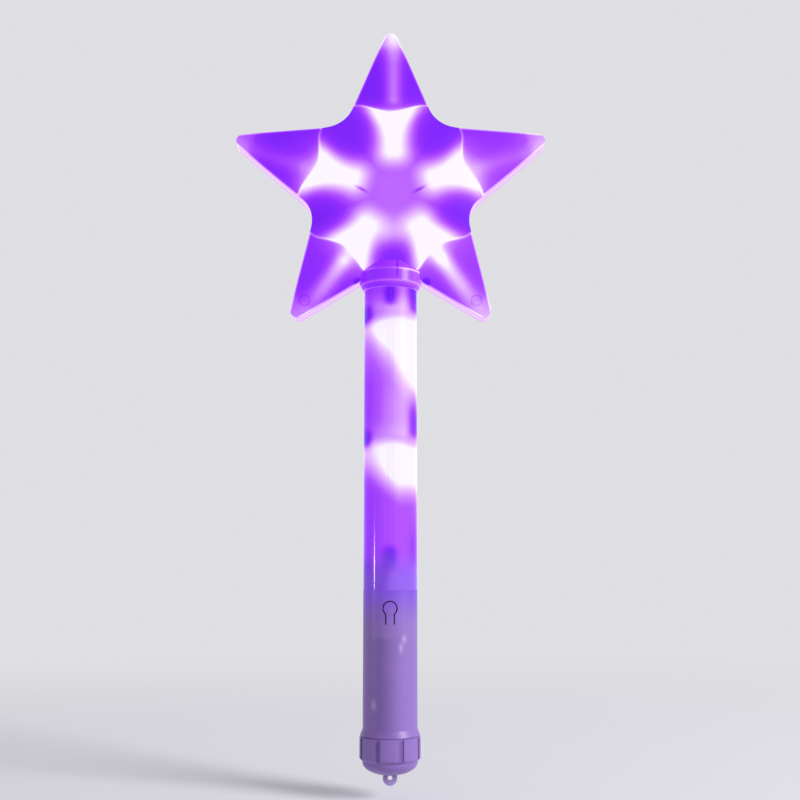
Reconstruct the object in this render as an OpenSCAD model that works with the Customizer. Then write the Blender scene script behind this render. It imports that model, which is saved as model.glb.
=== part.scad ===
// Toy magic wand: a hand-held light stick with a hollow star head.
// +Z runs along the wand towards the star, the star's face looks along -Y,
// and the origin is on the axis at the middle of the handle. Sizes in mm.

/* [Batteries] */
// Diameter of one cell
cell_d = 10.5; // [9.5:0.1:11]
// Length of one cell with its positive nub
cell_len = 44.5; // [42:0.5:46]
// Play around each cell
cell_gap = 0.1; // [0.05:0.01:0.2]
// Turn of the three cells about the axis
cell_turn = 20; // [0:1:60]

/* [Handle] */
// Height of the switch room between the ledge and the handle's top
switch_room = 19.3; // [17:0.1:28]
// Wall of the handle around the battery bay
grip_wall = 1.53; // [1.4:0.01:2]
// Length of the upper spigot that carries the tube
spigot_len = 9.5; // [8:0.5:14]
// Wall of the upper spigot
spigot_wall = 1.5; // [1.2:0.1:1.8]
// Height of the inner ledge above the cells
ledge_t = 1.2; // [1:0.1:2]
// Height of the flare at the handle's lower end
flare_h = 3.4; // [2:0.1:5]
// How far the flare stands out
flare_out = 1.2; // [0.6:0.05:1.3]

/* [Button] */
// Radius of the round head of the button tongue
button_r = 3; // [2.5:0.1:3.2]
// Width of the tongue's stem
stem_w = 3.4; // [2.6:0.1:4]
// Width of the slit around the tongue
slit = 0.6; // [0.5:0.05:1]
// Head centre below the handle's top edge
button_drop = 8.5; // [7:0.5:10]
// Root of the tongue below the head centre
tongue_len = 7.5; // [7:0.1:9]

/* [Battery cap] */
// Diameter across the grip pads
cap_d = 29; // [28.6:0.1:31]
// Height from the rim to the bottom of the dome
cap_h = 18; // [17:0.2:22]
// Height of the padded part
pad_h = 10; // [9.9:0.1:11]
// Number of grip pads
pad_count = 8; // [6:1:12]
// Width of the grooves between the pads
groove_w = 2; // [1:0.1:3]
// Depth of the grooves
groove_deep = 0.5; // [0.3:0.05:0.6]
// Diameter of the smooth foot under the pads
foot_d = 26.2; // [25.6:0.1:27]
// Wall of the domed bottom
dome_wall = 1.8; // [1.4:0.1:2.4]
// Outer radius of the strap loop
loop_r = 3.4; // [3:0.1:4]
// Diameter of the strap hole
loop_hole_d = 2.4; // [2:0.1:3]
// Thickness of the strap loop
loop_t = 2.5; // [2:0.1:3.5]

/* [Screw thread] */
// Rise of the thread in one turn
pitch = 3; // [2.6:0.1:3.2]
// Height of the thread above its root
thread_deep = 0.6; // [0.4:0.05:0.65]
// Wall of the threaded neck under the thread
thread_wall = 0.93; // [0.8:0.01:1]
// Radial play between the two threads
thread_gap = 0.2; // [0.15:0.01:0.25]
// Length of the threaded neck
thread_len = 7.2; // [7:0.1:8]

/* [Light tube] */
// Length of the tube
tube_len = 155; // [152:1:180]
// Wall of the tube
tube_wall = 1.5; // [1.2:0.1:1.8]
// Height of the tube's top flange
flange_h = 3.6; // [2.5:0.1:4]
// How far the flange stands out
flange_out = 0.8; // [0.5:0.05:0.9]
// Room above the highest LED carrier
top_room = 19; // [16:0.5:40]
// Radius of a carrier's disc
carrier_r = 9; // [8.5:0.1:9.6]
// Thickness of a carrier's disc
carrier_t = 2.5; // [2:0.1:4]
// Height of the carrier's two guide fins
fin_h = 14; // [8:0.5:16]

/* [Star head] */
// Reach of the rounded tips from the star's centre
star_reach = 82.2; // [74:0.2:92]
// Full angle of a star tip
tip_angle = 45.2; // [42:0.2:48]
// Rounding of the tips
tip_round = 3.7; // [3:0.1:4.5]
// Rounding of the notches between the arms
notch_round = 14.5; // [10:0.5:16]
// Half thickness of the rim
rim_half = 5; // [4.6:0.1:6]
// Rise of the ridged arms, taken at the centre
ridge_rise = 4; // [2:0.1:5]
// Rise of the central dome over the rim
dome_rise = 8; // [7:0.1:9]
// Radius of the dome where it meets the rim's plane
dome_reach = 47; // [45:0.5:49]
// Wall of the two star shells
star_wall = 1.8; // [1.4:0.1:2]
// Height of the lowest notch over the tube's top
notch_gap = 3.1; // [2:0.1:4]
// Distance of the locating posts from the tips
post_inset = 9.6; // [9:0.1:14]
// Radius of the locating posts
post_r = 2.6; // [2.2:0.1:2.8]

/* [Neck] */
// Wall of the neck around the tube's flange
neck_wall = 1.1; // [0.8:0.05:1.5]
// Length of tube held in the neck
neck_len = 8; // [7:0.1:10]
// Height of the taper at the neck's lip
lip_h = 3; // [1:0.1:3.2]
// Height of the neck's sloping roof
roof_h = 5.5; // [5:0.1:7]
// Distance of the neck screws from the neck's side
screw_side = 3.5; // [3.2:0.1:4]
// Distance of the neck screws from the arm's edge
screw_inset = 3.85; // [3.6:0.05:4.6]

/* [Electronics] */
// Diameter of an LED
led_d = 5; // [4.6:0.1:5.2]
// Height of an LED over its seat
led_h = 8.6; // [7.6:0.1:9]
// Diameter of the star's LED board
star_board_d = 34; // [32:0.5:36]
// Thickness of the circuit boards
board_t = 1.6; // [1.2:0.1:2]
// Width of a tact switch
tact_w = 6; // [5:0.1:6.4]
// Height of the tact switch body
tact_h = 3.5; // [3:0.1:4]
// Diameter of an insulated wire
wire_d = 1.2; // [0.8:0.1:1.4]
// Diameter of the spring wire
spring_d = 0.7; // [0.5:0.05:0.8]

/* [Hidden] */
$fn = 64;
// Seated faces, held fits and running fits
touch = 0.05;
fit = 0.1;
run = 0.06;
arms = 5;
leds = [1:arms];
trio = [1:3];
pair = [-1, 1];

// Battery bay: three cells side by side
cell_ring = (cell_d + cell_gap) / sqrt(3);
bay_r = cell_ring + cell_d / 2 + cell_gap;
nub_d = 3.8;
nub_h = 1;
cell_lift = 1;
plate_t = 0.3;
plate_r = 3.8;

// Radii along the axis
grip_r = bay_r + grip_wall;
tube_in = grip_r - tube_wall;
spigot_r = tube_in - fit;
spigot_in = spigot_r - spigot_wall;
root_r = bay_r + thread_wall;
crest_r = root_r + thread_deep;
cap_bore = crest_r + thread_gap;
cap_r = cap_d / 2;
foot_r = foot_d / 2;
flange_r = grip_r + flange_out;
neck_r = flange_r + fit + neck_wall;

// Heights along the axis, from the strap loop to the star
grip_len = cell_lift + cell_len + plate_t + board_t + 2 * touch + ledge_t + switch_room;
z_grip0 = -grip_len / 2;
z_grip1 = grip_len / 2;
z_neck0 = z_grip0 - thread_len;
z_disc1 = z_neck0 - fit;
z_disc0 = z_disc1 - board_t;
z_floor = z_disc0 - fit;
z_cap0 = z_grip0 - cap_h;
loop_sink = 1.4;
z_loop = z_cap0 - loop_sink;
z_cell0 = z_grip0 + cell_lift;
z_cell1 = z_cell0 + cell_len;
z_plate = z_cell1 + touch;
z_head0 = z_plate + plate_t;
z_head1 = z_head0 + board_t;
z_ledge = z_head1 + touch;
z_shelf = z_ledge + ledge_t;
z_button = z_grip1 - button_drop;
z_root = z_button - tongue_len;
z_spigot = z_grip1 + spigot_len;
z_tube1 = z_grip1 + tube_len;
z_lip = z_tube1 - neck_len;
z_first = z_spigot + carrier_t;
station_pitch = (z_tube1 - top_room - z_first) / 2;
function z_station(i) = z_first + (i - 1) * station_pitch;

// Switch stack behind the button, from the front wall inwards
peg_r = 1;
peg_len = 1.3;
plunger_r = 1.7;
plunger_out = 1;
plunger_in = 1.2;
plunger_room = 0.8;
y_wall = -bay_r;
y_peg = y_wall + peg_len;
y_plunger = y_peg + fit;
y_tact = y_plunger + plunger_out;
y_board = y_tact + tact_h;
y_back = y_board + board_t;
board_half = sqrt(pow(spigot_in, 2) - pow(y_board, 2)) - fit;
ledge_in = sqrt(pow(board_half, 2) + pow(y_board, 2)) - 0.4;
rail_t = 1.2;
rail_in = board_half - 1.2;

// LEDs and their leads
lead = 0.5;
lead_half = board_t / 2 + lead / 2;
led_flange = 0.4;
led_flange_h = 1;
led_stand = 1.2;
led_base = star_board_d / 2 + led_stand;
lead_long = 4.6;
lead_drop = 1.5;

// Wire pair along the back of the tube
wire_r = wire_d / 2;
wire_y = 6.5;
wire_hole = wire_r + 0.3;
y_star_wire = board_t / 2 + wire_r + touch;
y_switch_wire = y_back + wire_r + touch;

// Star outline
arm_step = 360 / arms;
half_tip = tip_angle / 2;
half_step = arm_step / 2;
tip_sharp = star_reach + tip_round * (1 / sin(half_tip) - 1);
dome_ball = (pow(dome_reach, 2) + pow(dome_rise, 2)) / (2 * dome_rise);
open = half_step + half_tip;
function polar(r, a) = [r * cos(a), r * sin(a)];
function unit(v) = v / norm(v);
function arm_at(i) = 90 + (i - 1) * arm_step;
function tip_at(inset) = tip_sharp - inset / sin(half_tip);
function notch_at(inset) = tip_at(inset) * tan(half_tip) / (sin(half_step) + cos(half_step) * tan(half_tip));
function dome_top(r) = rim_half + dome_rise - dome_ball + sqrt(pow(dome_ball, 2) - pow(r, 2));
notch_floor = notch_at(0) + notch_round * (1 / sin(open) - 1);
z_star = z_tube1 + notch_gap + notch_floor;
post_reach = star_reach - post_inset;
screw_x = neck_r + screw_side;
screw_drop = notch_at(0) + screw_x / tan(open) - screw_inset / sin(open);

// Board pillars in the back shell
pillar_r = 2.2;
pillar_ring = 10.5;
pillar_at = [54, 126, 270];
stake_r = 1;

// Locating pins and neck screws
pin_r = 1.2;
pin_long = 2.2;
pillar_screw = 2.9;
screw_r = 1.15;
screw_head = 2.1;
screw_head_h = 1.8;
screw_seat = 2.6;
screw_long = 4;
passage_r = 5;

// Shared shapes

// A hollow or solid round bar standing on z = from
module ring(outer, inner, from, to) {
    difference() {
        translate([0, 0, from])
            cylinder(h = to - from, r = outer);
        translate([0, 0, from - 1])
            cylinder(h = to - from + 2, r = inner);
    }
}

module post(r, from, to) {
    translate([0, 0, from])
        cylinder(h = to - from, r = r);
}

// A straight flat bar with round ends, drawn in the plane
module bar2d(p, q, w) {
    along = q - p;
    translate(p)
        rotate(atan2(along[1], along[0]))
            translate([0, -w / 2])
                square([norm(along), w]);
}

// A round tube swept along points, with rings square to the path
function ring_at(path, i, r, sides, up) =
    let (
        last = len(path) - 1,
        along = unit(path[min(i + 1, last)] - path[max(i - 1, 0)]),
        side = unit(cross(up, along)),
        over = cross(along, side)
    )
    [for (k = [0:sides - 1]) path[i] + r * (cos(360 * k / sides) * side + sin(360 * k / sides) * over)];

module sweep(path, r, sides, up) {
    last = len(path) - 1;
    skin = [
        for (i = [0:last - 1], k = [0:sides - 1])
            let (a = i * sides + k, b = i * sides + (k + 1) % sides)
                each [[a, a + sides, b], [b, a + sides, b + sides]]
    ];
    foot = [for (k = [1:sides - 2]) [0, k, k + 1]];
    head = [for (k = [1:sides - 2]) [last * sides, last * sides + k + 1, last * sides + k]];
    polyhedron(points = [for (i = [0:last]) each ring_at(path, i, r, sides, up)], faces = concat(skin, foot, head));
}

// A helical ridge of trapezoid section, rising as it turns to the left seen from above
module helix_ridge(r0, w0, r1, w1, from, turns) {
    steps = 36;
    count = round(turns * steps);
    section = [[r0, -w0 / 2], [r1, -w1 / 2], [r1, w1 / 2], [r0, w0 / 2]];
    points = [
        for (i = [0:count], s = section)
            let (flat = polar(s[0], i * 360 / steps))
                [flat[0], flat[1], from + i * pitch / steps + s[1]]
    ];
    skin = [
        for (i = [0:count - 1], k = [0:3])
            let (a = i * 4 + k, b = i * 4 + (k + 1) % 4)
                each [[a, b, a + 4], [b, b + 4, a + 4]]
    ];
    foot = [[0, 2, 1], [0, 3, 2]];
    head = [[count * 4, count * 4 + 1, count * 4 + 2], [count * 4, count * 4 + 2, count * 4 + 3]];
    faces = concat(skin, foot, head);
    polyhedron(points = points, faces = [for (f = faces) r1 > r0 ? f : [f[0], f[2], f[1]]]);
}

module led() {
    post(led_d / 2 + led_flange, 0, led_flange_h);
    post(led_d / 2, 0, led_h - led_d / 2);
    translate([0, 0, led_h - led_d / 2])
        sphere(d = led_d);
}

// Star head

// Points of one rounded tip and the rounded notch after it
function arm_points(inset, a) =
    let (
        r = tip_round - inset,
        middle = polar(tip_at(inset) - r / sin(half_tip), a),
        swing = 90 - half_tip,
        notch_r = notch_round + inset,
        notch_middle = polar(notch_at(inset) + notch_r / sin(open), a + half_step),
        notch_swing = 90 - open
    )
    concat(
        [for (k = [-7:7]) middle + polar(r, a + swing * k / 7)],
        [for (k = [-5:5]) notch_middle - polar(notch_r, a + half_step - notch_swing * k / 5)]
    );

module star_outline(inset) {
    polygon([for (i = leds) each arm_points(inset, arm_at(i))]);
}

// Five ridged arms as one faceted block, carried on past the outline on all sides
module star_roof() {
    past = 1.15;
    brim = [
        for (i = leds)
            each [polar(tip_sharp, arm_at(i)), polar(notch_at(0), arm_at(i) + half_step)]
    ];
    edge = 2 * arms;
    points = concat(
        [for (p = brim) [p[0] * past, p[1] * past, ridge_rise * (1 - past)]],
        [for (p = brim) [p[0] * past, p[1] * past, -2 * rim_half]],
        [[0, 0, ridge_rise], [0, 0, -2 * rim_half]]
    );
    faces = [
        for (k = [0:edge - 1])
            let (n = (k + 1) % edge)
                each [
                    [2 * edge, n, k],
                    [2 * edge + 1, k + edge, n + edge],
                    [k, n, k + edge],
                    [n, n + edge, k + edge]
                ]
    ];
    polyhedron(points = points, faces = faces);
}

// The outer form of half a star, or its hollow when drawn inset and dropped
module star_form(inset, drop, from) {
    intersection() {
        translate([0, 0, from])
            linear_extrude(height = rim_half + dome_rise + 5)
                star_outline(inset);
        translate([0, 0, -drop]) {
            translate([0, 0, rim_half])
                star_roof();
            translate([0, 0, rim_half + dome_rise - dome_ball])
                sphere(r = dome_ball, $fn = 128);
        }
    }
}

// Puts a form drawn flat, face up, into the front half of the star
module at_star() {
    translate([0, 0, z_star])
        rotate([90, 0, 0])
            children();
}

module neck_form() {
    rotate_extrude()
        polygon([
            [0, z_lip],
            [grip_r + fit + 0.4, z_lip],
            [neck_r, z_lip + lip_h],
            [neck_r, z_tube1 + star_wall / 2],
            [passage_r + star_wall * 2, z_tube1 + star_wall / 2 + roof_h],
            [0, z_tube1 + star_wall / 2 + roof_h]
        ]);
}

module neck_hollow() {
    post(grip_r + fit, z_lip - 1, z_tube1 + fit);
    post(flange_r + fit, z_tube1 - flange_h - fit, z_tube1 + fit);
    post(passage_r, z_tube1, z_tube1 + roof_h + star_wall * 4);
}

// Half a star shell with its share of the neck; children add what stands inside it
module star_half() {
    difference() {
        union() {
            at_star() {
                difference() {
                    star_form(0, 0, 0);
                    star_form(star_wall, star_wall, -1);
                }
                children();
            }
            intersection() {
                neck_form();
                translate([-neck_r * 2, -neck_r * 2, z_lip - 1])
                    cube([neck_r * 4, neck_r * 2, neck_len + roof_h + star_wall + 2]);
            }
        }
        neck_hollow();
    }
}

module at_posts() {
    for (i = leds)
        translate(polar(post_reach, arm_at(i)))
            children();
}

module at_screws() {
    for (side = pair)
        translate([side * screw_x, -screw_drop])
            children();
}

module star_front_shell() {
    color([0.62, 0.36, 0.95, 0.6])
        difference() {
            star_half() {
                at_posts() {
                    post(post_r, 0, rim_half - star_wall / 2);
                    post(pin_r, -pin_long, 1);
                }
                at_screws()
                    post(pillar_screw, 0, rim_half - star_wall / 2);
            }
            at_star()
                at_screws()
                    post(screw_r + touch, -1, screw_long + fit);
        }
}

module star_back_shell() {
    color([0.56, 0.32, 0.9, 0.6])
        mirror([0, 1, 0])
            difference() {
                star_half() {
                    at_posts()
                        post(post_r, 0, rim_half - star_wall / 2);
                    at_screws()
                        post(pillar_screw, 0, rim_half - star_wall / 2);
                    for (a = pillar_at)
                        translate(polar(pillar_ring, a)) {
                            post(pillar_r, board_t / 2, dome_top(pillar_ring) - star_wall / 2);
                            post(stake_r, -board_t, board_t);
                        }
                }
                at_star() {
                    at_posts()
                        post(pin_r + fit, -1, pin_long + fit);
                    at_screws() {
                        post(screw_r + fit, -1, rim_half + 2);
                        post(screw_head + fit, screw_seat, rim_half + dome_rise);
                    }
                }
            }
}

module star_board() {
    color("mediumpurple")
        at_star()
            difference() {
                post(star_board_d / 2, -board_t / 2, board_t / 2);
                for (a = pillar_at)
                    translate(polar(pillar_ring, a))
                        post(stake_r + fit, -board_t, board_t);
            }
}

// A star LED points outwards along its arm from the board's edge
module on_arm(i) {
    at_star()
        rotate(arm_at(i))
            translate([led_base, 0, 0])
                rotate([0, 90, 0])
                    children();
}

module star_led(i) {
    color([0.96, 0.93, 1])
        on_arm(i)
            led();
}

module star_led_leads() {
    color("silver")
        for (i = leds, side = pair)
            on_arm(i)
                translate([side * lead_half - lead / 2, -lead / 2, -lead_long])
                    cube([lead, lead, lead_long]);
}

module neck_screws() {
    color([0.35, 0.2, 0.45])
        mirror([0, 1, 0])
            at_star()
                at_screws()
                    difference() {
                        union() {
                            post(screw_r, -screw_long, screw_seat + 1);
                            post(screw_head, screw_seat, screw_seat + screw_head_h);
                        }
                        for (turn = [0, 90])
                            rotate(turn)
                                translate([-screw_head * 0.6, -0.3, screw_seat + screw_head_h - 0.7])
                                    cube([screw_head * 1.2, 0.6, 1]);
                    }
}

// Light tube and its three LED carriers

module light_tube() {
    color([0.7, 0.5, 1, 0.5])
        difference() {
            union() {
                post(grip_r, z_grip1, z_tube1);
                post(flange_r, z_tube1 - flange_h, z_tube1);
            }
            post(tube_in, z_grip1 - 1, z_tube1 + 1);
        }
}

module led_carrier(i) {
    lug = 10;
    top = z_station(i);
    color([0.75, 0.6, 0.95])
        difference() {
            union() {
                post(carrier_r, top - carrier_t, top);
                for (turn = [0:90:270])
                    rotate(turn - lug)
                        rotate_extrude(angle = 2 * lug)
                            translate([carrier_r - 1, top - carrier_t])
                                square([spigot_r - carrier_r + 1, carrier_t]);
                for (turn = [0, 180])
                    rotate(turn - lug)
                        rotate_extrude(angle = 2 * lug)
                            translate([spigot_in, top - 1])
                                square([spigot_r - spigot_in, fin_h + 1]);
            }
            for (side = pair) {
                translate([side * lead_half, wire_y, 0])
                    post(wire_hole, top - carrier_t - 1, top + 1);
                translate([side * lead_half - lead / 2 - fit, -lead / 2 - fit, top - carrier_t - 1])
                    cube([lead + 2 * fit, lead + 2 * fit, carrier_t + 2]);
            }
        }
}

module tube_led(i) {
    color([0.85, 0.75, 1])
        translate([0, 0, z_station(i)])
            led();
}

// Each lead goes down through the carrier and back to its wire
module tube_led_leads() {
    reach = wire_y - wire_r - touch;
    color("silver")
        for (i = trio, side = pair)
            translate([side * lead_half - lead / 2, -lead / 2, z_station(i) - carrier_t - lead_drop]) {
                cube([lead, lead, carrier_t + lead_drop]);
                cube([lead, reach + lead / 2, lead]);
            }
}

// Route of one wire from the switch board up to the star board
function wire_route(side) =
    let (
        x = side * lead_half,
        low = z_spigot,
        high = z_tube1
    )
    [
        [x, y_switch_wire, z_button + 4],
        [x, y_switch_wire, z_button + 7],
        [x, y_switch_wire + 1, low - 9],
        [x, 0, low - 6.5],
        [x, wire_y - 2.5, low - 4.5],
        [x, wire_y - 0.4, low - 3],
        [x, wire_y, low - 1.5],
        [x, wire_y, low + 1],
        [x, wire_y, high - 8],
        [x, wire_y - 0.6, high - 5],
        [x, wire_y - 2.4, high],
        [x, y_star_wire + 1, high + 8],
        [x, y_star_wire, high + 16],
        [x, y_star_wire, z_star - star_board_d / 2 + 4]
    ];

module red_wire() {
    color("crimson")
        sweep(wire_route(1), wire_r, 8, [1, 0, 0]);
}

module black_wire() {
    color("dimgray")
        sweep(wire_route(-1), wire_r, 8, [1, 0, 0]);
}

// Handle

// Keyhole outline of the button, drawn in the plane with its root at the bottom
module keyhole(grow) {
    translate([0, z_button])
        circle(r = button_r + grow);
    translate([-stem_w / 2 - grow, z_root])
        square([stem_w + 2 * grow, tongue_len]);
}

module through_front_wall() {
    rotate([90, 0, 0])
        linear_extrude(height = grip_r + 2)
            children();
}

module board_rails() {
    slot = board_t + 2 * touch;
    intersection() {
        post(bay_r + grip_wall / 2, z_shelf - 0.5, z_grip1);
        for (side = pair, y = [y_board - touch - rail_t, y_board - touch + slot])
            translate([side > 0 ? rail_in : -grip_r, y, z_shelf - 0.5])
                cube([grip_r - rail_in, rail_t, z_grip1 - z_shelf + 1]);
    }
}

// Angles of the three gaps between the cells, where the strip and the keys run
function gap_at(i) = -90 - cell_turn + 60 + (i - 1) * 120;
strip_half = 10;
strip_t = 0.3;
key_half = 9;
key_h = 4.6;
key_play = 1.5;

// The handle widens over the cap and stops just short of its rim
module flare() {
    edge = 0.3;
    inside = bay_r + grip_wall / 2;
    rotate_extrude()
        polygon([
            [inside, z_grip0 + fit],
            [grip_r + flare_out - edge, z_grip0 + fit],
            [grip_r + flare_out, z_grip0 + fit + edge],
            [grip_r, z_grip0 + flare_h],
            [inside, z_grip0 + flare_h]
        ]);
}

module handle_shell() {
    thread_w0 = 1.4;
    thread_w1 = 0.8;
    bury = 0.25;
    color([0.72, 0.62, 0.88, 0.85])
        difference() {
            union() {
                ring(grip_r, bay_r, z_grip0, z_grip1);
                flare();
                ring(spigot_r, spigot_in, z_grip1 - spigot_wall, z_spigot);
                ring(bay_r + grip_wall / 2, spigot_in, z_grip1 - spigot_wall, z_grip1);
                ring(root_r, bay_r, z_neck0, z_grip0 + grip_wall);
                ring(bay_r + grip_wall / 2, ledge_in, z_ledge, z_shelf);
                board_rails();
                helix_ridge(root_r - bury, thread_w0, crest_r, thread_w1, z_neck0 + thread_w0, 1.5);
            }
            through_front_wall()
                keyhole(slit);
            for (i = [2, 3])
                rotate(gap_at(i) - key_half - key_play)
                    rotate_extrude(angle = 2 * (key_half + key_play))
                        translate([bay_r - 1, z_neck0 - 1])
                            square([thread_deep + thread_wall + 2, key_h + 2]);
            rotate(gap_at(1) - strip_half - key_play)
                rotate_extrude(angle = 2 * (strip_half + key_play))
                    translate([bay_r - 3, z_ledge - 1])
                        square([3, ledge_t + 2]);
        }
}

module button_tongue() {
    color([0.75, 0.66, 0.9])
        union() {
            intersection() {
                ring(grip_r, bay_r, z_root - 1, z_button + button_r + 1);
                through_front_wall()
                    keyhole(0);
            }
            translate([0, y_peg, z_button])
                rotate([90, 0, 0])
                    cylinder(h = peg_len + grip_wall / 2, r = peg_r);
        }
}

module switch_board() {
    color("mediumseagreen")
        translate([-board_half, y_board, z_shelf])
            cube([2 * board_half, board_t, z_spigot - z_shelf - lead_drop * 2]);
}

module tact_body() {
    hole = plunger_r + run;
    color("darkslategray")
        difference() {
            translate([-tact_w / 2, y_tact, z_button - tact_w / 2])
                cube([tact_w, tact_h, tact_w]);
            translate([0, y_tact + plunger_in + plunger_room, z_button])
                rotate([90, 0, 0])
                    cylinder(h = plunger_in + plunger_room + 1, r = hole);
        }
}

module tact_plunger() {
    color("lightgray")
        translate([0, y_tact + plunger_in, z_button])
            rotate([90, 0, 0])
                cylinder(h = plunger_in + plunger_out, r = plunger_r);
}

module control_chip() {
    chip = [5, 1.5, 4];
    color("black")
        translate([-chip[0] / 2, y_back, z_shelf + 2])
            cube(chip);
}

// Batteries and their contacts

function cell_xy(i) = polar(cell_ring, -90 - cell_turn + (i - 1) * 120);

module battery_head_board() {
    color("seagreen")
        difference() {
            post(bay_r - fit, z_head0, z_head1);
            rotate(gap_at(1) - strip_half - key_play)
                rotate_extrude(angle = 2 * (strip_half + key_play))
                    translate([bay_r - 1, z_head0 - 1])
                        square([2, board_t + 2]);
        }
}

// One plate for the first cell and a bridge between the other two
module battery_head_contacts() {
    color("gold")
        translate([0, 0, z_plate])
            linear_extrude(height = plate_t) {
                translate(cell_xy(1))
                    circle(r = plate_r);
                for (i = [2, 3])
                    translate(cell_xy(i))
                        circle(r = plate_r);
                bar2d(cell_xy(2), cell_xy(3), plate_r);
            }
}

// Two short leads from the head board to the back of the switch board
function battery_lead_route(x) = [
    [x, 1, z_head1 + touch],
    [x, 1, z_head1 + 2],
    [x, 0.2, z_head1 + 3.8],
    [x, y_switch_wire + 1, z_head1 + 6.5],
    [x, y_switch_wire, z_head1 + 8.5],
    [x, y_switch_wire, z_head1 + 11]
];

module battery_leads() {
    color("firebrick")
        for (side = pair)
            sweep(battery_lead_route(side * 4.5), wire_r, 8, [1, 0, 0]);
}

module return_strip() {
    color("gold")
        rotate(gap_at(1) - strip_half)
            rotate_extrude(angle = 2 * strip_half)
                translate([bay_r - touch - strip_t, z_disc1 + plate_t + touch])
                    square([strip_t, z_head1 - z_disc1 - plate_t]);
}

// The middle cell stands head down, so that the three are in series
module battery(i) {
    can = cell_len - nub_h;
    color(i == 2 ? "slategray" : "lightslategray")
        translate(concat(cell_xy(i), [z_cell0])) {
            post(cell_d / 2, i == 2 ? nub_h : 0, i == 2 ? cell_len : can);
            post(nub_d / 2, 0, cell_len);
        }
}

spring_turns = 4;
spring_low = 3.2;
spring_high = 2.3;
spring_step = 8;
function spring_path() =
    let (
        count = spring_turns * spring_step,
        from = z_disc1 + plate_t + touch + spring_d / 2,
        to = z_cell0 - touch - spring_d / 2
    )
    [
        for (k = [0:count])
            let (
                share = k / count,
                flat = polar(spring_low + (spring_high - spring_low) * share, 360 * k / spring_step)
            )
            [flat[0], flat[1], from + (to - from) * share]
    ];

// Least room between the turns of a spring, measured on its own points
function least_gap(path) =
    min([
        for (i = [0:len(path) - 1], j = [i + spring_step / 2:1:len(path) - 1])
            norm(path[i] - path[j])
    ]) - spring_d;
echo(least_spring_gap = least_gap(spring_path()));

module battery_spring(i) {
    color("silver")
        translate(cell_xy(i))
            sweep(spring_path(), spring_d / 2, 6, [0, 0, 1]);
}

// Battery cap and the keyed contact disc that it carries

rivet_r = 1;
rivet_head = 1.7;
rivet_head_h = 0.8;
rivet_long = 4;
boss_r = 2.8;

module contact_disc() {
    disc_r = root_r + thread_gap - 0.4;
    color("darkgreen")
        difference() {
            union() {
                post(disc_r, z_disc0, z_disc1);
                for (i = [2, 3])
                    rotate(gap_at(i) - key_half)
                        rotate_extrude(angle = 2 * key_half)
                            translate([bay_r + fit, z_disc1 - 0.5])
                                square([thread_wall - 2 * fit, key_h + 0.5]);
            }
            post(rivet_r + run, z_disc0 - 1, z_disc1 + 1);
        }
}

// A bridge under the first two cells, and a plate that meets the return strip
module disc_contacts() {
    tail = polar(bay_r, gap_at(1));
    color("gold")
        translate([0, 0, z_disc1])
            linear_extrude(height = plate_t)
                intersection() {
                    circle(r = bay_r - fit);
                    union() {
                        for (i = trio)
                            translate(cell_xy(i))
                                circle(r = plate_r);
                        bar2d(cell_xy(3), cell_xy(1), 2);
                        bar2d(cell_xy(2), tail, 2);
                    }
                }
}

module disc_rivet() {
    color("silver") {
        post(rivet_r, z_disc1 - rivet_long, z_disc1 + rivet_head_h);
        post(rivet_head, z_disc1 + touch, z_disc1 + rivet_head_h);
    }
}

// Outer profile of the cap, ending in a domed foot
function dome_arc(r, rise, from) = [for (a = [0:10:90]) [r * cos(a), from - rise * sin(a)]];

module cap_body() {
    chamfer = 0.6;
    z_pad = z_grip0 - pad_h;
    z_foot = z_pad - (cap_r - foot_r);
    rotate_extrude()
        polygon(concat(
            [[0, z_grip0], [cap_r - chamfer, z_grip0], [cap_r, z_grip0 - chamfer]],
            [[cap_r, z_pad], [foot_r, z_foot]],
            dome_arc(foot_r, z_foot - z_cap0 - 0.6, z_foot - 0.6)
        ));
}

module cap_hollow() {
    hollow_r = bay_r - 1;
    z_bend = z_floor - 2;
    post(cap_bore, z_floor, z_grip0 + 1);
    difference() {
        rotate_extrude()
            polygon(concat(
                [[0, z_floor + 1], [hollow_r, z_floor + 1]],
                dome_arc(hollow_r, z_bend - z_cap0 - dome_wall, z_bend)
            ));
        post(boss_r, z_cap0, z_floor);
    }
}

module battery_cap() {
    thread_w0 = 1.3;
    thread_w1 = 0.8;
    bury = 0.25;
    color([0.68, 0.55, 0.86])
        difference() {
            union() {
                difference() {
                    union() {
                        cap_body();
                        translate([0, loop_t / 2, z_loop])
                            rotate([90, 0, 0])
                                cylinder(h = loop_t, r = loop_r);
                    }
                    cap_hollow();
                    for (k = [0:pad_count - 1])
                        rotate((k + 0.5) * 360 / pad_count)
                            translate([cap_r - groove_deep, -groove_w / 2, z_grip0 - pad_h - 2])
                                cube([2, groove_w, pad_h + 3]);
                }
                helix_ridge(cap_bore + bury, thread_w0, root_r + thread_gap, thread_w1,
                    z_neck0 + 1.4 + pitch / 2, 1);
            }
            translate([0, foot_r, z_loop])
                rotate([90, 0, 0])
                    cylinder(h = 2 * foot_r, d = loop_hole_d);
            post(rivet_r + touch / 2, z_disc1 - rivet_long - touch, z_disc1);
        }
}

star_front_shell();
star_back_shell();
star_board();
for (i = leds) star_led(i);
star_led_leads();
neck_screws();
light_tube();
for (i = trio) led_carrier(i);
for (i = trio) tube_led(i);
tube_led_leads();
red_wire();
black_wire();
handle_shell();
button_tongue();
switch_board();
tact_body();
tact_plunger();
control_chip();
battery_head_board();
battery_head_contacts();
battery_leads();
return_strip();
for (i = trio) battery(i);
for (i = trio) battery_spring(i);
contact_disc();
disc_contacts();
disc_rivet();
battery_cap();
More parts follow.
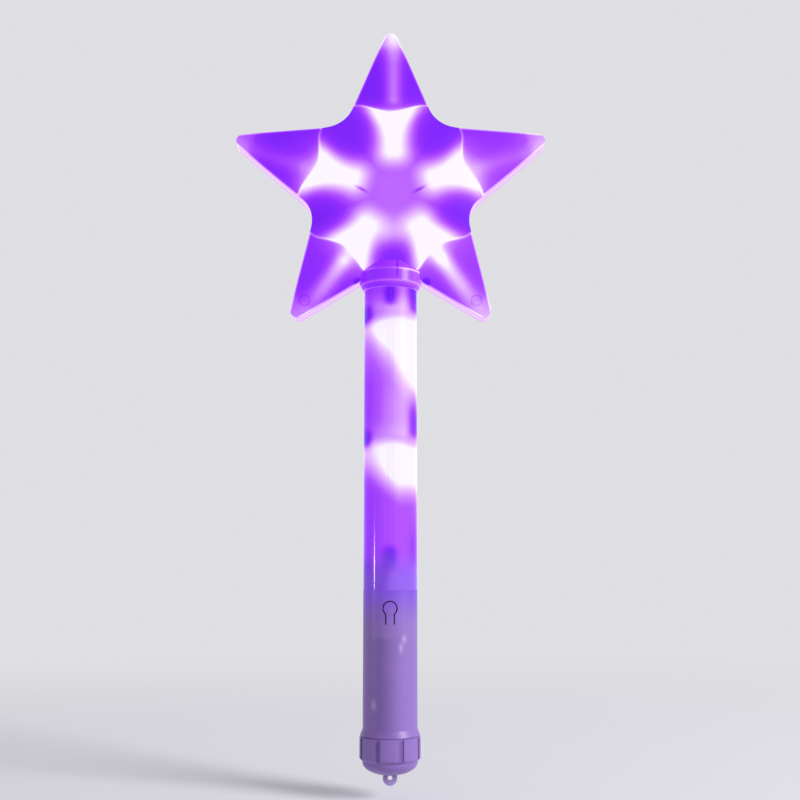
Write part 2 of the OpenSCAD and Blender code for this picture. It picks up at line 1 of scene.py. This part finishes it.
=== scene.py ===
import math
import bpy
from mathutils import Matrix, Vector


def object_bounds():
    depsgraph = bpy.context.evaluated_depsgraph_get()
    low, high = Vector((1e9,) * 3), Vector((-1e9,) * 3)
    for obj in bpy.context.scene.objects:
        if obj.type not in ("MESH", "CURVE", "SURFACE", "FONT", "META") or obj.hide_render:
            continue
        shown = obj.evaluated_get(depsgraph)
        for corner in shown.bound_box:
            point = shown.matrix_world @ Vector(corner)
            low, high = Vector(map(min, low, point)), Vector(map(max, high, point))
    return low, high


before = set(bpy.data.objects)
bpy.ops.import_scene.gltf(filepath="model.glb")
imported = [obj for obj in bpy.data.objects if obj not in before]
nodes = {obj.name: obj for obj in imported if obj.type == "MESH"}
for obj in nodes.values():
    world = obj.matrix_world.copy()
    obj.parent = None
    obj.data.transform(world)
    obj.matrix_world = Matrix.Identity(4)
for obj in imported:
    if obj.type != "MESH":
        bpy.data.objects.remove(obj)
cad_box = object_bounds()

# Room: a plain pale floor that runs out into a pale surround of the same colour, low enough for the cap to
# come out of the handle. A large soft lamp stands on the right, one behind, and a small one on the left that
# draws the thin line of light on the tube.
scene = bpy.context.scene
scene.view_settings.view_transform = "Standard"
pale = (0.74, 0.74, 0.77, 1)


class Value:
    """A socket in a node tree; sums written on it add their Math nodes."""

    def __init__(self, tree, socket=None):
        self.tree, self.socket = tree, socket

    def node(self, kind, settings=None, inputs=None, output=0):
        made = self.tree.nodes.new("ShaderNode" + kind)
        for name, value in (settings or {}).items():
            if name == "stops":
                for _ in value[2:]:
                    made.color_ramp.elements.new(0.5)
                for stop, (place, colour) in zip(made.color_ramp.elements, value):
                    stop.position, stop.color = place, colour
            else:
                setattr(made, name, value)
        for key, value in (inputs or {}).items():
            if isinstance(value, Value):
                self.tree.links.new(value.socket, made.inputs[key])
            else:
                made.inputs[key].default_value = value
        return Value(self.tree, made.outputs[output])

    def other(self, output):
        """Another output of the same node."""
        return Value(self.tree, self.socket.node.outputs[output])

    def sum(self, operation, *terms):
        return self.node("Math", {"operation": operation}, dict(enumerate(terms)))

    def __add__(self, other): return self.sum("ADD", self, other)
    def __radd__(self, other): return self.sum("ADD", other, self)
    def __sub__(self, other): return self.sum("SUBTRACT", self, other)
    def __rsub__(self, other): return self.sum("SUBTRACT", other, self)
    def __mul__(self, other): return self.sum("MULTIPLY", self, other)
    def __rmul__(self, other): return self.sum("MULTIPLY", other, self)
    def __truediv__(self, other): return self.sum("DIVIDE", self, other)
    def __rtruediv__(self, other): return self.sum("DIVIDE", other, self)
    def __pow__(self, other): return self.sum("POWER", self, other)
    def __neg__(self): return self.sum("MULTIPLY", self, -1.0)
    def __abs__(self): return self.sum("ABSOLUTE", self)

    def above(self, least): return self.sum("MAXIMUM", self, least)
    def below(self, most): return self.sum("MINIMUM", self, most)
    def exp(self): return self.sum("EXPONENT", self)

    def spot(self):
        """1 at 0, falling off softly on both sides."""
        return (-(self * self)).exp()

    def hump(self, power):
        """A spot with a flatter top and steeper sides."""
        return (-(self ** power)).exp()

    def ease(self, start, end):
        """0 at start, 1 at end and beyond, with soft ends; start may be the larger."""
        low, high = min(start, end), max(start, end)
        part = self.node("MapRange", {"interpolation_type": "SMOOTHSTEP"},
                         {"Value": self, "From Min": low, "From Max": high})
        return part if start < end else 1.0 - part

    def blend(self, a, b):
        """Colour a where this is 0, colour b where it is 1."""
        return self.node("Mix", {"data_type": "RGBA"}, {0: self, 6: a, 7: b}, 2)

    def into(self, shader, socket):
        self.tree.links.new(self.socket, shader.inputs[socket])


def material(name, colour, **sockets):
    made = bpy.data.materials.new(name)
    made.use_nodes = True
    shader = made.node_tree.nodes["Principled BSDF"]
    shader.inputs["Base Color"].default_value = colour
    for key, value in sockets.items():
        shader.inputs[key.replace("_", " ")].default_value = value
    return made, Value(made.node_tree), shader


def spot_on(start):
    """The piece's own coordinates, in metres."""
    return start.node("TexCoord", output=3)


cap_travel, floor_gap, floor_half = 0.006, 0.0004, 12.0
floor_low = cad_box[0][2] - cap_travel - floor_gap
corners = [(-1, -1), (1, -1), (1, 1), (-1, 1)]
floor_mesh = bpy.data.meshes.new("floor")
floor_mesh.from_pydata([(floor_half * i, floor_half * j, floor_low) for i, j in corners], [], [(0, 1, 2, 3)])
floor = bpy.data.objects.new("floor", floor_mesh)
scene.collection.objects.link(floor)
floor_paint, start, shader = material("floor", pale, Roughness=0.8, Specular_IOR_Level=0.05)
floor_mesh.materials.append(floor_paint)
lit_to, plain_from = 0.25, 0.95
away = start.node("VectorMath", {"operation": "LENGTH"}, {0: spot_on(start)}, 1)
far = start.node("Emission", inputs={"Color": pale})
near = Value(start.tree, shader.outputs[0])
ground = start.node("MixShader", inputs={0: away.ease(lit_to, plain_from), 1: near, 2: far})
ground.into(start.tree.nodes["Material Output"], "Surface")

world = bpy.data.worlds.new("surround")
world.use_nodes = True
scene.world = world
start = Value(world.node_tree)
room_light = (0.33, 0.33, 0.35, 1)
camera_ray = start.node("LightPath")
seen = camera_ray.above(camera_ray.other("Is Transmission Ray")).above(camera_ray.other("Is Glossy Ray"))
seen.blend(room_light, pale).into(world.node_tree.nodes["Background"], "Color")


wand_middle = Vector((0, 0, (cad_box[0][2] + cad_box[1][2]) / 2))


def lamp(name, place, size, watts):
    light = bpy.data.lights.new(name, "AREA")
    light.shape, light.size, light.energy = "DISK", size, watts
    made = bpy.data.objects.new(name, light)
    made.location = place
    made.rotation_euler = (wand_middle - Vector(place)).to_track_quat("-Z", "Y").to_euler()
    scene.collection.objects.link(made)


lamp("key", (1.45, -0.9, 0.8), size=0.8, watts=34)
lamp("fill", (-1.74, -0.6, 0.05), size=0.1, watts=2.4)
lamp("back", (-0.4, 1.6, 1.2), size=1.0, watts=14)

tilt_up = 0.148
eye = bpy.data.cameras.new("camera")
eye.lens, eye.sensor_width, eye.clip_start = 50.625, 36.0, 0.01
camera = bpy.data.objects.new("camera", eye)
camera.location = (0.0047, -0.550, 0.04445)
camera.rotation_euler = (math.pi / 2 + tilt_up, 0, 0)
scene.collection.objects.link(camera)
scene.camera = camera

# Star head: two hollow half shells, moulded in clear violet plastic, closed at the rim and round the neck.
# Light of the five LEDs stands in a funnel before each, at the dome's edge, on the ridges and in the rim.


def tone(red, green, blue):
    """A colour as it looks on a screen, 0 to 255, in the values that materials take."""
    parts = [c / 255 for c in (red, green, blue)]
    return tuple(c / 12.92 if c <= 0.04045 else ((c + 0.055) / 1.055) ** 2.4 for c in parts) + (1.0,)


def dress(paint, *names):
    for name in names:
        mesh = nodes[name].data
        mesh.materials.clear()
        mesh.materials.append(paint)


def ends(name, axis):
    """Where a piece starts and ends along an axis, in millimetres."""
    corners = [1000.0 * corner[axis] for corner in nodes[name].bound_box]
    return min(corners), max(corners)


def place_of(start):
    """Millimetres along x, y and z on a piece."""
    split = start.node("SeparateXYZ", inputs={0: spot_on(start)})
    return [split.other(k) * 1000.0 for k in range(3)]


def glow_colour(level):
    """Violet light, from dim at level 0 to white at level 1."""
    return level.node("ValToRGB", {"stops": [
        (0.0, tone(108, 0, 232)), (0.2, tone(144, 36, 244)), (0.4, tone(176, 80, 248)),
        (0.6, tone(206, 138, 250)), (0.8, tone(234, 190, 251)), (1.0, tone(255, 252, 254))]}, {0: level})


star_z, arm_turn = sum(ends("star_board", 2)) / 2, math.tau / 5


def arm_place(x, up):
    """Distance from the middle, along the nearest arm and off its middle line."""
    reach = (x * x + up * up) ** 0.5
    turn = x.sum("ARCTAN2", x, up)
    off = turn - arm_turn * x.sum("ROUND", turn / arm_turn)
    return reach, reach * x.sum("COSINE", off), abs(reach * x.sum("SINE", off))


violet, glow_strength = tone(58, 14, 116), 0.93
paint, start, shader = material("star_plastic", violet, Roughness=0.28, Specular_IOR_Level=0.22,
                                Emission_Strength=glow_strength)
x, y, z = place_of(start)
up = z - star_z
reach, along, across = arm_place(x, up)

# The LEDs lie deeper than the front, so that their light is seen lower and a little beside the middle.
light_drop, light_shift = 4.5, 1.4
glow_reach, glow_along, glow_across = arm_place(x - light_shift, up + light_drop)

# The dome meets the roof of each arm in a crease; inside is the distance from it, in the dome.
dome_top, dome_curve = 8.0, 284.0
ridge_top, ridge_run, flank_fall = 4.0, 22.03, 0.109
crease_slope, crease_bow = 0.237, 2.6
dome_height = dome_top - reach * reach / dome_curve
roof_height = ridge_top - along / ridge_run - flank_fall * ((across * across + 25.0) ** 0.5 - 3.0)
inside = (dome_height - roof_height) / crease_slope - crease_bow * (across / 12.5).hump(4.0)

# In the dome: a glow in the middle, a funnel before each LED, and spill between the two above the neck.
funnel_tip, funnel_flare, flare_run, funnel_fade = 1.0, 6.9, 8.0, 8.0
led_behind, led_before = 8.5, 21.0
funnel_half = funnel_tip + funnel_flare * (inside.above(0.0) / flare_run).spot()
funnel = ((glow_across - funnel_half).above(0.0) / funnel_fade).spot()
funnel = funnel * glow_along.ease(led_behind, led_before)
dome = 0.03 + 0.43 * (glow_reach / 22.0).hump(4.0)
dome = dome + 0.10 * (glow_across / 14.0).spot() * glow_along.ease(8.0, 22.0)
dome = dome + 0.40 * ((up + 25.5) / 7.0).spot() * (x / 9.0).spot()
dome = dome + (1.05 - dome) * funnel

# On the arms: shine past the crease, the ridge, a beam in the lower two, the tip and a line at the brink.
upright = up * up / (reach * reach + 1.0)
lower = up.ease(-10.0, -25.0)
shine_length = 6.0 - 3.6 * up.ease(20.0, 40.0)
brink_out, brink_cos, brink_sin = 88.13, 0.3843, 0.9232
brink = (brink_out - along) * brink_cos - across * brink_sin
arm = 0.15 - 0.12 * upright + 0.0016 * x + 0.10 * up.ease(-5.0, -30.0)
arm = arm + (0.80 - 0.20 * lower) * (glow_across / 13.0).spot() * (inside.below(0.0) / shine_length).exp()
ridge = (glow_across / (3.0 + 0.03 * along)).spot() * along.ease(40.0, 46.0)
ridge = ridge * (1.0 - 0.8 * along.ease(62.0, 80.0) * up.ease(0.0, -20.0))
arm = arm + (0.17 + 0.29 * upright) * ridge
beam = (glow_across / 4.6).spot() * ((44.0 - along) / 20.0).exp() * lower
arm = arm + (0.34 + 0.003 * x) * beam
arm = arm + (0.28 + 0.16 * up.ease(40.0, 70.0)) * along.ease(64.0, 84.0) + 0.5 * (brink / 0.6).spot()
level = arm + inside.ease(-0.6, 0.7) * (dome - arm) + 0.32 * (inside / 0.7).spot() * across.ease(1.0, 10.0)

# Painted shade where locating posts near the tips, bent LED leads and screw pillars stand behind the wall.
post_out, post_r = 72.6, 2.6
post_shade_ring = ((along - post_out) ** 2.0 + across * across) ** 0.5 - post_r
# The tips are a little brighter in painted light, and the posts' painted shade is deeper in the lower arms.
level = level + 0.10 * along.ease(72.0, 76.0) - (0.04 + 0.09 * lower) * (post_shade_ring / 0.35).spot()
lead_x, lead_drop, lead_lean = 14.6, 3.4, 0.6
lead_side, lead_up = abs(x) - lead_x, up + lead_drop
lead_shade = ((lead_side + lead_lean * lead_up) / 3.4).spot() * ((lead_up - lead_lean * lead_side) / 0.8).spot()
pillar_x, pillar_shift, pillar_drop, pillar_r = 16.8, 0.8, 3.1, 1.8
pillar_z = sum(ends("neck_screws", 2)) / 2 - pillar_drop
pillar_shade = ((abs(x - pillar_shift) - pillar_x) ** 2.0 + (z - pillar_z) ** 2.0) ** 0.5 / pillar_r
level = level - 0.40 * lead_shade - 0.9 * pillar_shade.hump(3.0)

# Painted light on the neck's collar, brighter to the right, along its shoulder and at its lower edge.
neck_r, tube_top = -ends("star_front_shell", 1)[0], ends("light_tube", 2)[1]
collar_top, collar_low = tube_top + 1.0, tube_top - 5.2
from_axis = (x * x + y * y) ** 0.5
roof = (from_axis - neck_r + 1.16 * (z - collar_top + 0.1)) / 0.5
roof = roof.spot() * z.ease(collar_top - 0.4, collar_top + 0.2) * z.ease(collar_top + 6.5, collar_top + 5.5)
collar = from_axis.ease(neck_r - 1.7, neck_r - 0.7) * from_axis.ease(neck_r + 0.7, neck_r + 0.2)
collar = (collar * z.ease(collar_top + 0.6, collar_top)).above(roof)
shoulder_light = ((z - collar_top) / 0.6).spot() * (0.25 + x.ease(-2.0, 10.0))
collar_light = 0.25 + 0.013 * x.above(-7.0) + 0.45 * shoulder_light + 0.22 * ((z - collar_low) / 0.6).spot()
collar_light = collar_light - 0.2 * ((x - 3.4) / 0.5).spot() * z.ease(collar_low + 1.2, collar_low + 2.2)
# A painted bright band in the rim, darker along the seam between the halves.
facing = start.node("SeparateXYZ", inputs={0: start.node("TexCoord", output=1)})
rim = abs(facing.other(1)).ease(0.62, 0.35) * (1.0 - collar)
level = level + rim * (0.66 + 0.2 * (y / 2.2).spot() - 0.4 * (y / 0.22).spot() - level)
level = level + collar * (collar_light - level)
glow_colour(level).into(shader, "Emission Color")
dress(paint, "star_front_shell", "star_back_shell")

# Light tube: milky violet tube, extruded, its flange clamped by the neck and its foot glued into the handle.
# The LEDs throw a slanting patch of light below each carrier, and painted shade marks the fins and LEDs
# behind the wall.
paint, start, shader = material("tube_plastic", violet, Roughness=0.1, Specular_IOR_Level=0.2,
                                Emission_Strength=glow_strength)
x, y, z = place_of(start)
low, middle, upper = [ends("led_carrier_%d" % i, 2)[0] + 4.5 for i in (1, 2, 3)]
# Painted glow, rising from the tube's left edge towards its right.
glow_to_right = x.ease(-13.5, 5.0)
level = 0.20 + (0.20 + 0.15 * z.ease(76.0, 125.0) * z.ease(upper + 9.0, upper - 1.0)) * glow_to_right

# Light round the two upper carriers, the fade at the left of the upper patch, and the patches themselves.
level = level + 0.10 * ((z - middle - 10.0) / 15.0).spot() * glow_to_right + 0.16 * ((z - middle + 2.5) / 6.0).spot()
level = level + 0.20 * z.ease(upper + 8.0, upper - 2.0) * (z + 0.6 * x).ease(upper - 26.0, upper - 12.0)
left_fade = z.ease(upper - 5.0, upper - 12.0) * z.ease(upper - 42.0, upper - 12.0)
level = level + 0.30 * left_fade * x.ease(2.0, -6.0)
upper_patch = z.ease(upper - 3.0, upper - 15.0) * (z + 1.45 * x).ease(upper - 41.0, upper - 7.0)
lower_slant = (z + 0.6 * x.below(4.0)).ease(middle - 35.5, middle - 16.5)
lower_patch = (z + 0.15 * x).ease(middle - 2.0, middle - 11.0) * lower_slant
level = level + (0.55 + 0.25 * glow_to_right) * (upper_patch + lower_patch)

# Painted shade behind the wall: a lug on the left of each carrier, a longer web on its right, and the LEDs.
fin_shade = 0.0
for fin_z, dark in ((upper, 1.0), (middle, 1.0), (low, 0.3)):
    left = 1.2 * ((z - fin_z + 4.0) / 4.0).spot() * x.ease(1.0, -1.0)
    right = 0.9 * z.ease(fin_z - 5.0, fin_z) * z.ease(fin_z + 27.0, fin_z + 3.0) * x.ease(-1.0, 1.0)
    fin_shade = fin_shade + dark * (left + right)
led_shade = 0.0
for led_z, led_tall, dark in ((upper + 4.5, 4.6, 1.0), (low + 1.0, 5.2, 0.8)):
    led_shade = led_shade + dark * ((z - led_z) / led_tall).hump(4.0)
fin_x, edge_x, led_r = 12.0, 12.8, 2.9
level = level - 0.65 * fin_shade * ((abs(x) - fin_x) / 2.7).spot() - 0.6 * led_shade * (x / led_r).spot()
# A painted bright line close to both edges of the tube.
level = level + 0.1 * ((abs(x) - edge_x) / 0.5).spot()

# The foot is dimmer and milkier, with a slanting shadow of the lowest LED; the inner wall lets all through.
# The foot's painted glow is lighter towards the right.
foot_colour = glow_to_right.blend(tone(104, 62, 186), tone(150, 108, 226))
colour = z.ease(low + 8.0, low - 12.0).blend(glow_colour(level), foot_colour)
led_shadow = ((x + 0.22 * (low + 6.0 - z)) / 3.4).spot() * z.ease(low + 7.0, low + 1.0) * y.ease(0.0, -4.0)
(0.45 * led_shadow).blend(colour, tone(92, 40, 188)).into(shader, "Emission Color")
wall_from, wall_to = 12.1, 12.6
outer_wall = ((x * x + y * y) ** 0.5).ease(wall_from, wall_to)
(0.05 + 0.88 * outer_wall).into(shader, "Alpha")
(0.1 + 0.3 * z.ease(80.0, 120.0)).into(shader, "Roughness")
dress(paint, "light_tube")

# Star's light board: round board behind the dome on three pillars, with five LEDs on bent tinned leads that
# point out along the arms, and two dark plated screws that clamp the neck.


def grain(start, size):
    """Soft cloudy unevenness, about 0.5 in the mean."""
    return start.node("TexNoise", inputs={"Vector": spot_on(start), "Scale": size, "Detail": 3.0})


def plain(name, light, dark, size, names, **sockets):
    """A finish that varies softly between two tones."""
    paint, start, shader = material(name, light, **sockets)
    finish = grain(start, size).ease(0.3, 0.7).blend(light, dark)
    finish.into(shader, "Base Color")
    (sockets["Roughness"] + 0.2 * (grain(start, size * 3.0) - 0.5)).into(shader, "Roughness")
    dress(paint, *names)
    return start, shader, finish


def board(name, mask, copper, names):
    """Solder mask over traces that run across the board."""
    paint, start, shader = material(name, mask, Roughness=0.35)
    wave = start.node("TexWave", {"bands_direction": "DIAGONAL"}, {
        "Vector": spot_on(start), "Scale": 260.0, "Distortion": 6.0, "Detail": 1.0})
    wave.other(1).ease(0.62, 0.72).blend(mask, copper).into(shader, "Base Color")
    dress(paint, *names)


def lens(name, colour, strength, names):
    """Tinted LED lens that glows unevenly."""
    paint, start, shader = material(name, colour, Roughness=0.15, Emission_Strength=strength)
    grain(start, 400.0).ease(0.3, 0.8).blend(colour, tone(255, 236, 255)).into(shader, "Emission Color")
    dress(paint, *names)


def numbered(name, count):
    return ["%s_%d" % (name, i) for i in range(1, count + 1)]


board("star_board", tone(196, 176, 220), tone(160, 130, 200), ["star_board"])
lens("star_led", tone(226, 190, 255), 1.0, numbered("star_led", 5))
plain("tinned_lead", tone(150, 140, 176), tone(110, 98, 140), 500.0, ["star_led_leads", "tube_led_leads"],
      Metallic=1.0, Roughness=0.35)
plain("screw", tone(70, 52, 96), tone(40, 28, 60), 600.0, ["neck_screws"], Metallic=1.0, Roughness=0.4)

# Carriers: three moulded discs with guide fins that stand in the tube, each with an LED pointing up, and the
# red and black wires of the pair that runs from the handle past them to the star's board.
plain("carrier_plastic", tone(112, 36, 214), tone(92, 20, 196), 220.0, numbered("led_carrier", 3),
      Roughness=0.4)
lens("tube_led", tone(84, 8, 196), 0.35, numbered("tube_led", 3))
plain("red_insulation", tone(150, 26, 120), tone(124, 18, 100), 300.0, ["red_wire"], Roughness=0.45)
plain("black_insulation", tone(58, 34, 92), tone(40, 22, 70), 300.0, ["black_wire"], Roughness=0.45)

# Handle: milky lavender tube moulded round the battery bay, with the push button cut into its wall as a
# keyhole-shaped tongue, and a screw cap of the same plastic. The tube's light fades out in its upper end.


def milky(name, *names):
    lavender = tone(138, 107, 182)
    paint, start, shader = material(name, lavender, Roughness=0.38, Specular_IOR_Level=0.35,
                                    Emission_Strength=0.9)
    x, y, z = place_of(start)
    from_axis = (x * x + y * y) ** 0.5
    cell_low, cell_top = ends("battery_1", 2)
    cell_x, cell_r = -3.6, 5.0
    cell_shadow = z.ease(cell_low - 1.7, cell_low + 1.3) * z.ease(cell_top + 1.8, cell_top - 1.2)
    cell_shadow = cell_shadow * ((x - cell_x) / cell_r).spot()

    # The grooves between the cap's eight pads are shaded a little past their edges.
    pad_turn, pad_r, groove_half = math.tau / 8, ends("battery_cap", 0)[1], 1.3
    pads_top, pads_low, foot_low = -34.3, -46.0, -57.0
    pad = x.sum("ARCTAN2", x, y) / pad_turn - 0.5
    from_groove = abs(pad - x.sum("ROUND", pad)) * (pad_turn * pad_r)
    grooves = (from_groove / groove_half).hump(4.0) * from_axis.ease(pad_r - 1.0, pad_r - 0.8)
    grooves = grooves * z.ease(pads_low, pads_low + 1.0) * z.ease(pads_top, pads_top - 0.6)
    # Painted shadow of the cells and painted shade in the grooves, with a random mottle.
    shade_and_mottle = 0.40 * cell_shadow + 0.55 * grooves + 0.5 * (grain(start, 90.0) - 0.5)

    # Painted glints of cell foil, painted light paling the foot, violet light in the upper end and the
    # button's slit.
    foil_glint = 0.0
    for glint_x, glint_z, glint_wide, glint_tall in ((6.7, 11.2, 1.0, 1.8), (5.2, 7.2, 0.9, 2.0),
                                                     (-7.6, -19.0, 1.2, 2.2)):
        foil_glint = foil_glint + ((x - glint_x) / glint_wide).spot() * ((z - glint_z) / glint_tall).spot()
    skin = shade_and_mottle.blend(lavender, tone(98, 70, 142))
    painted_foot_light = z.ease(pads_low, foot_low)
    skin = (0.5 * painted_foot_light).blend(skin, tone(196, 174, 226))
    skin = (0.4 * foil_glint * y.ease(0.0, -5.0)).blend(skin, tone(206, 184, 232))
    lit_from, lit_full, skin_r = 8.0, 36.0, 12.85
    lit = z.ease(lit_from, lit_full) ** 2.0
    slit_walls = from_axis.ease(skin_r, skin_r - 0.35) * z.ease(lit_from, lit_from + 4.0)
    (0.7 * lit).blend(skin, tone(88, 44, 160)).into(shader, "Base Color")
    lit.above(slit_walls).blend((0, 0, 0, 1), tone(78, 26, 158)).into(shader, "Emission Color")
    bump = start.node("Bump", inputs={"Height": grain(start, 900.0), "Strength": 0.12, "Distance": 0.0004})
    bump.into(shader, "Normal")
    dress(paint, *names)


milky("handle_plastic", "handle_shell", "button_tongue")
milky("cap_plastic", "battery_cap")
cap = nodes["battery_cap"]
cap.modifiers.new("weld", "WELD").merge_threshold = 2e-6
bevel = cap.modifiers.new("bevel", "BEVEL")
bevel.width, bevel.segments = 0.0005, 3
bevel.limit_method, bevel.angle_limit = "ANGLE", math.radians(30)
cap.modifiers.new("normals", "WEIGHTED_NORMAL")

# Switch: a board of green-masked laminate that slides on rails in the handle behind the button, with a
# soldered tact switch of black plastic, its pale plunger, and a chip under a moulded black cover.
board("circuit_board", tone(44, 110, 84), tone(72, 146, 104),
      ["switch_board", "battery_head_board", "contact_disc"])
plain("switch_body", tone(46, 44, 52), tone(34, 32, 40), 500.0, ["tact_body"], Roughness=0.5)
plain("switch_plunger", tone(206, 200, 214), tone(184, 178, 196), 500.0, ["tact_plunger"], Roughness=0.4)
plain("chip", tone(34, 33, 38), tone(24, 23, 28), 800.0, ["control_chip"], Roughness=0.6)

# Battery bay: three cells in plain foil sleeves with a gold band at the plus end, stamped contacts above and
# below them, coil springs of plated wire, and the keyed disc that a rivet holds in the cap.
plain("contact_metal", tone(206, 190, 146), tone(178, 160, 120), 400.0,
      ["battery_head_contacts", "disc_contacts", "return_strip"], Metallic=1.0, Roughness=0.3)
plain("spring_wire", tone(196, 194, 200), tone(160, 158, 166), 600.0, numbered("battery_spring", 3),
      Metallic=1.0, Roughness=0.25)
plain("rivet", tone(190, 188, 194), tone(150, 148, 156), 600.0, ["disc_rivet"], Metallic=1.0, Roughness=0.35)
plain("lead_insulation", tone(170, 40, 60), tone(140, 28, 46), 300.0, ["battery_leads"], Roughness=0.45)
plus_up, plus_down = (-2.0, -1.6), (-21.6, -22.0)
for name, band in zip(numbered("battery", 3), (plus_up, plus_down, plus_up)):
    start, shader, sleeve = plain(name + "_sleeve", tone(88, 92, 110), tone(70, 74, 92), 120.0, [name],
                                  Metallic=0.4, Roughness=0.3)
    x, y, z = place_of(start)
    z.ease(*band).blend(sleeve, tone(178, 150, 96)).into(shader, "Base Color")
